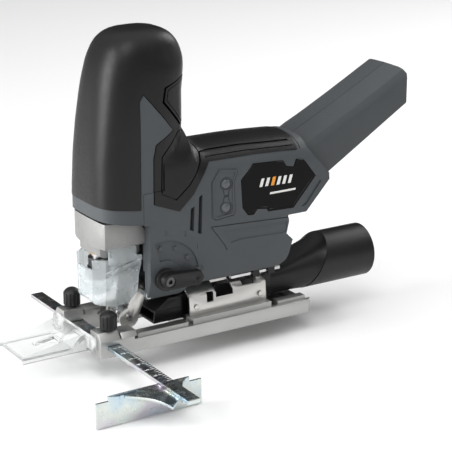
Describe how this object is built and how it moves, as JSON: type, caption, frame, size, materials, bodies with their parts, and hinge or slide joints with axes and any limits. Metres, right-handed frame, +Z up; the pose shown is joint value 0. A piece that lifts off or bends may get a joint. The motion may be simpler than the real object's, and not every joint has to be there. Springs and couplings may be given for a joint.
{
  "type": "jigsaw power tool",
  "caption": "Cordless jigsaw with an upright soft barrel grip, angled battery arm, tilting cast base, dust tube, parallel fence and clear guards.",
  "frame": {"origin": "centre of the base sole at rest", "axes": "-X is the cutting direction (front), -Y is the side with the pendulum lever, +Z is up"},
  "size_m": [0.2913, 0.207, 0.2125],
  "materials": {
    "housing": "fine moulded texture",
    "arm": "fine moulded texture",
    "soft_grip": "soft satin",
    "nose": "fine cast grain",
    "badge": "high gloss",
    "black_plastic": "satin",
    "control_plastic": "satin",
    "steel": "bright turned",
    "dark_steel": "oiled",
    "bronze": "sintered",
    "copper": "enamelled windings",
    "board": "solder mask",
    "base_cast": "machined die casting",
    "bracket_sheet": "satin nickel",
    "fence_zinc": "zinc plated",
    "clear_plastic": "clear polycarbonate",
    "lens": "clear"
  },
  "bodies": {
    "tool_body": {"housing_left": "housing", "housing_right": "housing", "grip_left": "soft_grip", "grip_right": "soft_grip", "arm_left": "arm", "arm_right": "arm", "nose_casting": "nose", "badge_plates": "badge", "button_panel": "control_plastic", "motor_can": "dark_steel", "motor_plate": "base_cast", "shaft_bearings": "steel", "plunger_bushes": "bronze", "wheel_carrier": "base_cast", "wheel_axle": "steel", "circuit_board": "board", "switch_module": "black_plastic", "work_light": "lens", "battery_rails": "black_plastic", "battery_contacts": "bronze", "housing_screws": "dark_steel", "clamp_screw": "steel", "bracket_pin": "steel", "hex_key": "steel", "key_clip": "black_plastic"},
    "trigger": {"trigger": "soft_grip"},
    "upper_button": {"upper_button": "control_plastic"},
    "lower_button": {"lower_button": "control_plastic"},
    "pendulum_lever": {"pendulum_lever": "black_plastic", "lever_screw": "dark_steel"},
    "roller_bracket": {"roller_bracket": "bracket_sheet", "roller_pin": "steel"},
    "guide_roller": {"guide_roller": "steel"},
    "plunger": {"plunger_rod": "steel", "scotch_yoke": "dark_steel", "blade_clamp": "dark_steel"},
    "rotor": {"rotor_shaft": "steel", "rotor_core": "copper", "motor_fan": "black_plastic", "motor_pinion": "steel"},
    "crown_wheel": {"crown_wheel": "dark_steel", "crank_pin": "steel"},
    "blade_guard": {"blade_guard": "clear_plastic"},
    "base": {"base_plate": "base_cast", "cradle_bracket": "bracket_sheet", "dust_duct": "black_plastic", "dust_tube": "black_plastic"},
    "fence": {"fence_bar": "fence_zinc", "fence_plate": "fence_zinc", "fence_rivets": "steel"},
    "left_knob": {"left_knob": "black_plastic"},
    "right_knob": {"right_knob": "black_plastic"},
    "line_guide": {"line_guide": "clear_plastic"}
  },
  "joints": [
    {"name": "trigger_press", "type": "slide", "parent": "tool_body", "child": "trigger", "axis": [-1, 0, 0], "range_m": [0, 0.0012], "stiffness_N_per_m": 1500, "springref_m": -0.002},
    {"name": "upper_button_press", "type": "slide", "parent": "tool_body", "child": "upper_button", "axis": [0, 1, 0], "range_m": [0, 0.001], "stiffness_N_per_m": 800, "springref_m": -0.001},
    {"name": "lower_button_press", "type": "slide", "parent": "tool_body", "child": "lower_button", "axis": [0, 1, 0], "range_m": [0, 0.001], "stiffness_N_per_m": 800, "springref_m": -0.001},
    {"name": "pendulum_setting", "type": "hinge", "parent": "tool_body", "child": "pendulum_lever", "pos_m": [-0.031, 0, 0.0425], "axis": [0, -1, 0], "range_deg": [0, 93]},
    {"name": "bracket_swing", "type": "hinge", "parent": "tool_body", "child": "roller_bracket", "pos_m": [-0.04, 0, 0.0315], "axis": [0, 1, 0], "range_deg": [-4, 0]},
    {"name": "roller_spin", "type": "hinge", "parent": "roller_bracket", "child": "guide_roller", "pos_m": [-0.0476, 0, 0.014], "axis": [0, 1, 0], "continuous": true},
    {"name": "plunger_stroke", "type": "slide", "parent": "tool_body", "child": "plunger", "axis": [0, 0, -1], "range_m": [0, 0.02]},
    {"name": "rotor_spin", "type": "hinge", "parent": "tool_body", "child": "rotor", "pos_m": [-0.0413, 0, 0.09], "axis": [0, 0, 1], "continuous": true},
    {"name": "crown_spin", "type": "hinge", "parent": "tool_body", "child": "crown_wheel", "pos_m": [-0.05, 0, 0.0825], "axis": [1, 0, 0], "continuous": true},
    {"name": "guard_pull", "type": "slide", "parent": "tool_body", "child": "blade_guard", "axis": [-1, 0, 0], "range_m": [0, 0.03]},
    {"name": "base_bevel", "type": "hinge", "parent": "tool_body", "child": "base", "pos_m": [0, 0, 0], "axis": [1, 0, 0], "range_deg": [-6, 6]},
    {"name": "fence_slide", "type": "slide", "parent": "base", "child": "fence", "axis": [0, 1, 0], "range_m": [-0.045, 0.055]},
    {"name": "left_knob_turn", "type": "hinge", "parent": "base", "child": "left_knob", "pos_m": [-0.07075, -0.025, 0], "axis": [0, 0, 1], "continuous": true},
    {"name": "right_knob_turn", "type": "hinge", "parent": "base", "child": "right_knob", "pos_m": [-0.07075, 0.025, 0], "axis": [0, 0, 1], "continuous": true},
    {"name": "guide_pull", "type": "slide", "parent": "base", "child": "line_guide", "axis": [-1, 0, 0], "range_m": [0, 0.015]}
  ],
  "couplings": [
    {"joint": "crown_spin", "follows": "rotor_spin", "ratio": 0.25}
  ]
}
